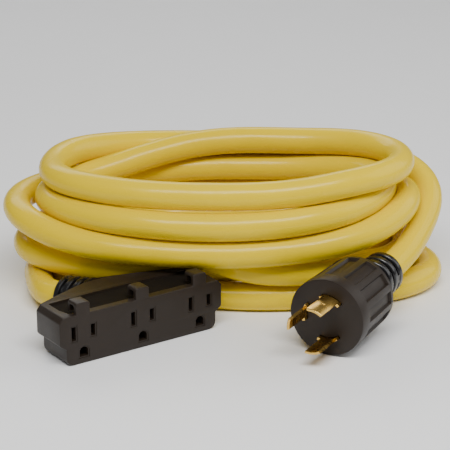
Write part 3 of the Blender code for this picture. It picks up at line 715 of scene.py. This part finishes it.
def outlet_cutter(start, end, grow, slot_width):
    """Every blade slot and ground hole as one solid to cut with."""
    bm = bmesh.new()
    for x in OUTLETS:
        for side, height in ((-1, NEUTRAL_SLOT), (1, LINE_SLOT)):
            middle = x + side * SLOT_SIDE
            half = slot_width / 2 + grow
            add_box(bm, (middle - half, start, SLOT_HEIGHT - height / 2 - grow),
                    (middle + half, end, SLOT_HEIGHT + height / 2 + grow))
        prism(bm, ground_outline(x, grow), start, end)
    return bm


def lug_eye_cutter():
    """The hollows in the lugs' sides, right through each."""
    bm = bmesh.new()
    for x in OUTLETS:
        low = (x - LUG_HALF - 1.4 * MM, FACE_Y + 2.4 * MM, HEAD_TOP - 0.2 * MM)
        high = (x + LUG_HALF + 1.4 * MM, FACE_Y + 7.2 * MM, LUG_TOP - 1.9 * MM)
        corners = add_box(bm, low, high)
        edges = {edge for corner in corners for edge in corner.link_edges
                 if abs(edge.verts[0].co.x - edge.verts[1].co.x) > MM}
        round_edges(bm, list(edges), 1.2 * MM)
    return bm


class POWERCORD_OT_head_face(bpy.types.Operator):
    """Make the head's face with its outlets and lugs"""

    bl_idname = "powercord.head_face"
    bl_label = "Head face"

    def execute(self, context):
        settings = context.scene.moulding_settings
        bm = bmesh.new()
        front = prism(bm, head_outline(lugs=True), FACE_Y, FACE_BACK)
        round_edges(bm, list(front.edges), settings.edge_radius * 0.7)
        bm = carve(bm, lug_eye_cutter())
        bm = carve(bm, tray_cutter())
        rim_depth, rim_width = SLOT_RIM
        bm = carve(bm, outlet_cutter(FACE_Y - MM, FACE_Y + rim_depth, rim_width, settings.slot_width))
        bm = carve(bm, outlet_cutter(FACE_Y - MM, FACE_BACK + MM, 0, settings.slot_width))
        face = add_piece("head_face", bm, [body_material(settings)],
                         ["head_face_cover"])
        finish_tray(face)
        return {"FINISHED"}


def rear_y(x):
    """Where the head starts to narrow behind a given X: furthest back in the middle."""
    outside = max(0, abs(x) - MIDDLE_HALF) / (HEAD_HALF - MIDDLE_HALF)
    return FACE_Y + MIDDLE_DEPTH + (SIDE_DEPTH - MIDDLE_DEPTH) * min(outside, 1)


def neck_circle(radius, count):
    """A ring of points round the neck, in step with the head's outline."""
    first, span = NECK_ARC
    points = []
    for index in range(count):
        angle = math.radians(first + span * index / (count - 1))
        points.append(NECK @ Vector((radius * math.cos(angle), 0, radius * math.sin(angle))))
    return points


def head_rings():
    """The rings of the head's outer skin, from behind the face to the neck."""
    outline = head_outline(lugs=False)
    start = FACE_BACK + 0.05 * MM
    front = [Vector((x, start, z)) for x, z in outline]
    block = [Vector((x, rear_y(x), z)) for x, z in outline]
    neck = neck_circle(NECK_RADIUS, len(outline))
    rings = [front, block]
    for share in (0.3, 0.6, 0.85):
        ring = []
        for from_block, from_neck in zip(block, neck):
            wide = from_block.lerp(from_neck, share)
            wide.z = from_block.z + (from_neck.z - from_block.z) * share * share
            ring.append(wide)
        rings.append(ring)
    return rings + [neck]


def tray_cutter():
    """The shallow panel sunk in the head's top, behind its ledge."""
    (ledge_half, half), back = TRAY_HALF, 3 * MM
    right = [(ledge_half, LEDGE_DEPTH), (half, 12 * MM), (half, rear_y(half) - FACE_Y - back),
             (MIDDLE_HALF - MM, MIDDLE_DEPTH - back)]
    plan = right + [(-x, y) for x, y in right[::-1]]
    bm = bmesh.new()
    face = bm.faces.new([bm.verts.new((x, FACE_Y + y, HEAD_TOP - TRAY_DEPTH)) for x, y in plan])
    grown = bmesh.ops.extrude_face_region(bm, geom=[face])["geom"]
    raised = [item for item in grown if isinstance(item, bmesh.types.BMVert)]
    bmesh.ops.translate(bm, verts=raised, vec=(0, 0, 2 * MM))
    return bm


class POWERCORD_OT_head_shell(bpy.types.Operator):
    """Make the moulding behind the face and the ribbed sleeve on its neck"""

    bl_idname = "powercord.head_shell"
    bl_label = "Head shell"

    def execute(self, context):
        settings = context.scene.moulding_settings
        outside = head_rings()
        inside = [[HOLLOW_MIDDLE + (point - HOLLOW_MIDDLE) * HOLLOW_SHARE for point in ring]
                  for ring in outside[:-1]]
        inside[0] = [Vector((p.x, outside[0][0].y, p.z)) for p in inside[0]]
        hole = neck_circle(NECK_HOLE, len(outside[0]))
        bm = bmesh.new()
        corners = [[bm.verts.new(p) for p in ring] for ring in outside + [hole] + inside[::-1]]
        for near, far in zip(corners, corners[1:] + corners[:1]):
            for index in range(len(near)):
                bm.faces.new([near[index - 1], near[index], far[index], far[index - 1]])
        ridge = [bm.edges.get((corners[1][i - 1], corners[1][i])) for i in range(len(corners[1]))]
        round_edges(bm, ridge, settings.edge_radius)
        bm = carve(bm, tray_cutter())
        shell = add_piece("head_shell", bm, [body_material(settings)],
                          ["head_rear_moulding"])
        finish_tray(shell)
        bm = ribbed_sleeve(NECK, NECK_SLEEVE, NECK_RADIUS, 3)
        add_piece("head_sleeve", bm, [sleeve_material(settings)],
                  ["head_strain_relief"])
        return {"FINISHED"}


def rib(radius, start, end, steps=6):
    """Half a rounded rib's profile, from its near foot over the top to its far foot."""
    middle, half = (start + end) / 2, (end - start) / 2
    crown = min(half, RIB_CROWN)
    points = []
    for step in range(steps + 1):
        angle = math.pi - math.pi * step / steps
        side = -1 if angle > math.pi / 2 else 1
        along = middle + side * (half - crown) + crown * math.cos(angle)
        points.append((radius - crown + crown * math.sin(angle), along))
    return points


def ribbed_sleeve(place, span, radius, ribs):
    """A sleeve along the Y of the given axes, its ribs joined by webs that alternate in turn."""
    bm = bmesh.new()
    length = span[1] - span[0]
    core = radius - RIB_HEIGHT
    edge = radius - SLEEVE_CHAMFER
    pitch = length / (ribs + 0.5)
    groove = GROOVE_SHARE * pitch
    profile = [(SLEEVE_HOLE, length), (SLEEVE_HOLE, 0), (edge, 0), (radius, SLEEVE_CHAMFER),
               (radius, 0.5 * pitch - SLEEVE_CHAMFER), (edge, 0.5 * pitch), (core, 0.5 * pitch)]
    for index in range(ribs):
        start = 0.5 * pitch + index * pitch + groove
        end = 0.5 * pitch + (index + 1) * pitch
        slimmer = radius - MM * (index + 1) / ribs
        profile += [(core, start)] + rib(slimmer, start, end)
        if index < ribs - 1:
            profile.append((core, end))
    turned(bm, profile)
    for index in range(ribs):
        start = 0.5 * pitch + index * pitch - 0.3 * MM
        for half_turn in (0, 1):
            web = add_box(bm, (-WEB_HALF, start, core - MM),
                          (WEB_HALF, start + groove + 0.6 * MM, radius - 1.6 * MM))
            turn = Matrix.Rotation(math.pi * half_turn + math.pi / 2 * (index % 2), 4, "Y")
            bmesh.ops.transform(bm, verts=web, matrix=turn)
    bmesh.ops.transform(bm, verts=bm.verts, matrix=place @ Matrix.Translation((0, span[0], 0)))
    return bm


# ---------------------------------------------------------------- plug

class POWERCORD_OT_plug(bpy.types.Operator):
    """Make the plug's grip and its ribbed sleeve"""

    bl_idname = "powercord.plug"
    bl_label = "Plug"

    def execute(self, context):
        plug, moulding = context.scene.plug_settings, context.scene.moulding_settings
        steps = plug.flutes * 6
        bm = bmesh.new()
        rear = PLUG_LENGTH
        rings = [(PLUG_RADIUS - 0.9 * MM, 0), (PLUG_RADIUS - 0.25 * MM, 0.25 * MM),
                 (PLUG_RADIUS, 0.9 * MM), (PLUG_RADIUS, 8.6 * MM), (PLUG_RADIUS - 0.1 * MM, 9.6 * MM),
                 (PLUG_REAR_RADIUS + 0.3 * MM, rear - 4.4 * MM), (PLUG_REAR_RADIUS, rear - 3.4 * MM),
                 (PLUG_REAR_RADIUS, rear - 1.6 * MM), (PLUG_REAR_RADIUS - 0.5 * MM, rear - 0.8 * MM),
                 (PLUG_REAR_RADIUS - 2.4 * MM, rear), (9 * MM, rear), (9 * MM, rear - 4 * MM),
                 (17 * MM, rear - 4 * MM), (18.5 * MM, 3 * MM)]
        upright = Matrix.Rotation(math.pi / 2, 4, "X")
        corners = []
        for radius, along in rings:
            place = Matrix.Translation((0, along, 0)) @ upright
            circle = bmesh.ops.create_circle(bm, segments=steps, radius=radius, matrix=place)
            corners.append(circle["verts"])
        for near, far in zip(corners, corners[1:]):
            for index in range(steps):
                bm.faces.new([near[index - 1], near[index], far[index], far[index - 1]])
        bm.faces.new(corners[0])
        bm.faces.new(corners[-1])
        bmesh.ops.recalc_face_normals(bm, faces=bm.faces)
        for flute in range(plug.flutes):
            chosen = []
            for step in range(4):
                index = (flute * 6 + step) % steps
                near, far = corners[4], corners[5]
                face = {near[index - 1], near[index], far[index], far[index - 1]}
                chosen += [one for one in near[index].link_faces if set(one.verts) == face]
            bmesh.ops.inset_region(bm, faces=chosen, thickness=0.7 * MM, depth=-plug.flute_depth,
                                   use_even_offset=True)
        slots = bmesh.new()
        for _, middle, width in BLADES:
            prism(slots, blade_outline(middle, width, 0.35 * MM), -MM, 4 * MM)
        bm = carve(bm, slots)
        bmesh.ops.transform(bm, verts=bm.verts, matrix=PLUG)
        add_piece("plug_grip", bm, [body_material(moulding)], ["plug_body"])
        bm = ribbed_sleeve(PLUG, PLUG_SLEEVE, PLUG_SLEEVE_RADIUS, 4)
        add_piece("plug_sleeve", bm, [sleeve_material(moulding)],
                  ["plug_strain_relief"])
        return {"FINISHED"}


def blade_outline(middle, width, grow=0.0, steps=12):
    """A blade's curved cross-section in X and Z."""
    half = width / 2 + math.degrees(grow / BLADE_CIRCLE)
    points = []
    for reach, low, high in ((BLADE_THICK / 2 + grow, middle - half, middle + half),
                             (-BLADE_THICK / 2 - grow, middle + half, middle - half)):
        radius = BLADE_CIRCLE + reach
        for step in range(steps + 1):
            angle = math.radians(low + (high - low) * step / steps)
            points.append(Vector((radius * math.cos(angle), radius * math.sin(angle))))
    return points


def on_blade_circle(radius, angle, along):
    """Moves something to a place round the plug's axis and along it."""
    return Matrix.Translation((radius * math.cos(angle), along, radius * math.sin(angle)))


class POWERCORD_OT_blades(bpy.types.Operator):
    """Make the plug's three curved blades"""

    bl_idname = "powercord.blades"
    bl_label = "Blades"

    def execute(self, context):
        settings = context.scene.plug_settings
        brass = brass_material(settings)
        for name, middle, width in BLADES:
            bm = bmesh.new()
            reach = settings.blade_reach
            prism(bm, blade_outline(middle, width), -reach, BLADE_INSIDE)
            tip = [edge for edge in bm.edges if all(v.co.y < -reach + MM for v in edge.verts)]
            round_edges(bm, tip, 0.45 * MM)
            for side in (-1, 1):
                edge_angle = math.radians(middle + side * width / 2)
                corner = on_blade_circle(BLADE_CIRCLE, edge_angle, 0)
                notch = bmesh.new()
                add_box(notch, (-SHOULDER_WIDTH, -reach - MM, -4 * MM),
                        (SHOULDER_WIDTH, -SHOULDER_OUT, 4 * MM))
                turn = Matrix.Rotation(math.pi / 2 - edge_angle, 4, "Y")
                bmesh.ops.transform(notch, matrix=corner @ turn, verts=notch.verts)
                bm = carve(bm, notch)
            dimple = bmesh.ops.create_uvsphere(bm, u_segments=16, v_segments=10, radius=1.0)["verts"]
            angle = math.radians(middle)
            place = on_blade_circle(DIMPLE_CIRCLE, angle, -reach * 0.5)
            turn, squash = Matrix.Rotation(-angle, 4, "Y"), Matrix.Diagonal((*DIMPLE_SIZE, 1))
            bmesh.ops.transform(bm, verts=dimple, matrix=place @ turn @ squash)
            bmesh.ops.transform(bm, verts=bm.verts, matrix=PLUG)
            add_piece(name + "_plate", bm, [brass], [name])
        return {"FINISHED"}


# ---------------------------------------------------------------- inner pieces

class POWERCORD_OT_inner(bpy.types.Operator):
    """Give the inner pieces their finishes"""

    bl_idname = "powercord.inner"
    bl_label = "Inner pieces"

    def execute(self, context):
        nylon = finish_material("Nylon", (0.55, 0.52, 0.45), 0.5, grain=2000.0, drift=0.1)
        tinned = finish_material("Tinned", (0.66, 0.66, 0.64), 0.32, metallic=1.0, grain=1200.0)
        brass = brass_material(context.scene.plug_settings)
        wires = {"line": finish_material("Wire Black", (0.02, 0.02, 0.02), 0.4),
                 "neutral": finish_material("Wire White", (0.8, 0.8, 0.78), 0.4),
                 "ground": finish_material("Wire Green", (0.02, 0.3, 0.06), 0.4)}
        for name, node in frame["nodes"].items():
            if name.endswith("_conductor"):
                finish = wires[name.split("_")[0]]
            elif name.endswith("_crimp"):
                finish = tinned
            elif name.endswith("_bus_bar"):
                finish = brass
            elif "carrier" in name or "retainer" in name:
                finish = nylon
            else:
                continue
            for slot in node.material_slots:
                slot.material = finish
        return {"FINISHED"}


# ---------------------------------------------------------------- stage

def add_light(name, size, power, place):
    """A rectangular light that shines on the middle of the cord."""
    data = bpy.data.lights.new(name, "AREA")
    data.shape = "RECTANGLE"
    data.size, data.size_y = size
    data.energy = power
    light = bpy.data.objects.new(name, data)
    light.location = place
    light.rotation_euler = (Vector(LIGHT_AIM) - Vector(place)).to_track_quat("-Z", "Y").to_euler()
    bpy.context.collection.objects.link(light)


class POWERCORD_OT_stage(bpy.types.Operator):
    """Make the floor, the lights and the camera"""

    bl_idname = "powercord.stage"
    bl_label = "Stage"

    def execute(self, context):
        settings = context.scene.stage_settings
        bm = bmesh.new()
        bmesh.ops.create_grid(bm, x_segments=1, y_segments=1, size=FLOOR_HALF)
        mesh = bpy.data.meshes.new("floor")
        bm.to_mesh(mesh)
        bm.free()
        floor = bpy.data.objects.new("floor", mesh)
        floor.location.z = -FLOOR_DROP
        context.collection.objects.link(floor)
        mesh.materials.append(finish_material("Floor", settings.floor, 0.6, bump=0.0, drift=0.01))
        add_light("key", KEY_SIZE, settings.key_power, KEY_PLACE)
        add_light("fill", FILL_SIZE, settings.fill_power, FILL_PLACE)
        add_light("back", BACK_SIZE, settings.fill_power, BACK_PLACE)
        world = bpy.data.worlds.new("surroundings")
        world.use_nodes = True
        background = world.node_tree.nodes["Background"]
        background.inputs["Color"].default_value = (1, 1, 1, 1)
        background.inputs["Strength"].default_value = settings.world
        context.scene.world = world
        data = bpy.data.cameras.new("camera")
        data.lens = CAMERA_LENS
        data.sensor_width = 36
        data.clip_start, data.clip_end = 0.05, 20
        camera = bpy.data.objects.new("camera", data)
        camera.location = CAMERA_PLACE
        view = Vector(CAMERA_AIM) - camera.location
        camera.rotation_euler = view.to_track_quat("-Z", "Y").to_euler()
        context.collection.objects.link(camera)
        context.scene.camera = camera
        return {"FINISHED"}


class POWERCORD_PT_panel(bpy.types.Panel):
    """Lists the pieces of the power cord"""

    bl_label = "Power Cord"
    bl_idname = "POWERCORD_PT_panel"
    bl_space_type = "VIEW_3D"
    bl_region_type = "UI"
    bl_category = "Power Cord"

    def draw(self, context):
        layout = self.layout
        for group, operators in PANEL_ROWS:
            settings = getattr(context.scene, group)
            for name in settings.bl_rna.properties.keys():
                if name not in ("rna_type", "name"):
                    layout.prop(settings, name)
            for operator in operators:
                layout.operator(operator)


PANEL_ROWS = (
    ("stage_settings", ("powercord.stage",)),
    ("moulding_settings", ("powercord.head_face", "powercord.head_shell")),
    ("plug_settings", ("powercord.plug", "powercord.blades", "powercord.inner")),
    ("cord_settings", ("powercord.cord",)),
)
SETTINGS = {"stage_settings": StageSettings, "moulding_settings": MouldingSettings,
            "plug_settings": PlugSettings, "cord_settings": CordSettings}
CLASSES = (*SETTINGS.values(), POWERCORD_OT_stage, POWERCORD_OT_head_face, POWERCORD_OT_head_shell,
           POWERCORD_OT_plug, POWERCORD_OT_blades, POWERCORD_OT_inner, POWERCORD_OT_cord,
           POWERCORD_PT_panel)


def register():
    for one in CLASSES:
        bpy.utils.register_class(one)
    for name, group in SETTINGS.items():
        setattr(bpy.types.Scene, name, PointerProperty(type=group))


def unregister():
    for name in SETTINGS:
        delattr(bpy.types.Scene, name)
    for one in reversed(CLASSES):
        bpy.utils.unregister_class(one)


def main():
    register()
    bpy.ops.powercord.stage()
    bpy.ops.powercord.head_face()
    bpy.ops.powercord.head_shell()
    bpy.ops.powercord.plug()
    bpy.ops.powercord.blades()
    bpy.ops.powercord.inner()
    bpy.ops.powercord.cord()


if __name__ == "__main__":
    main()
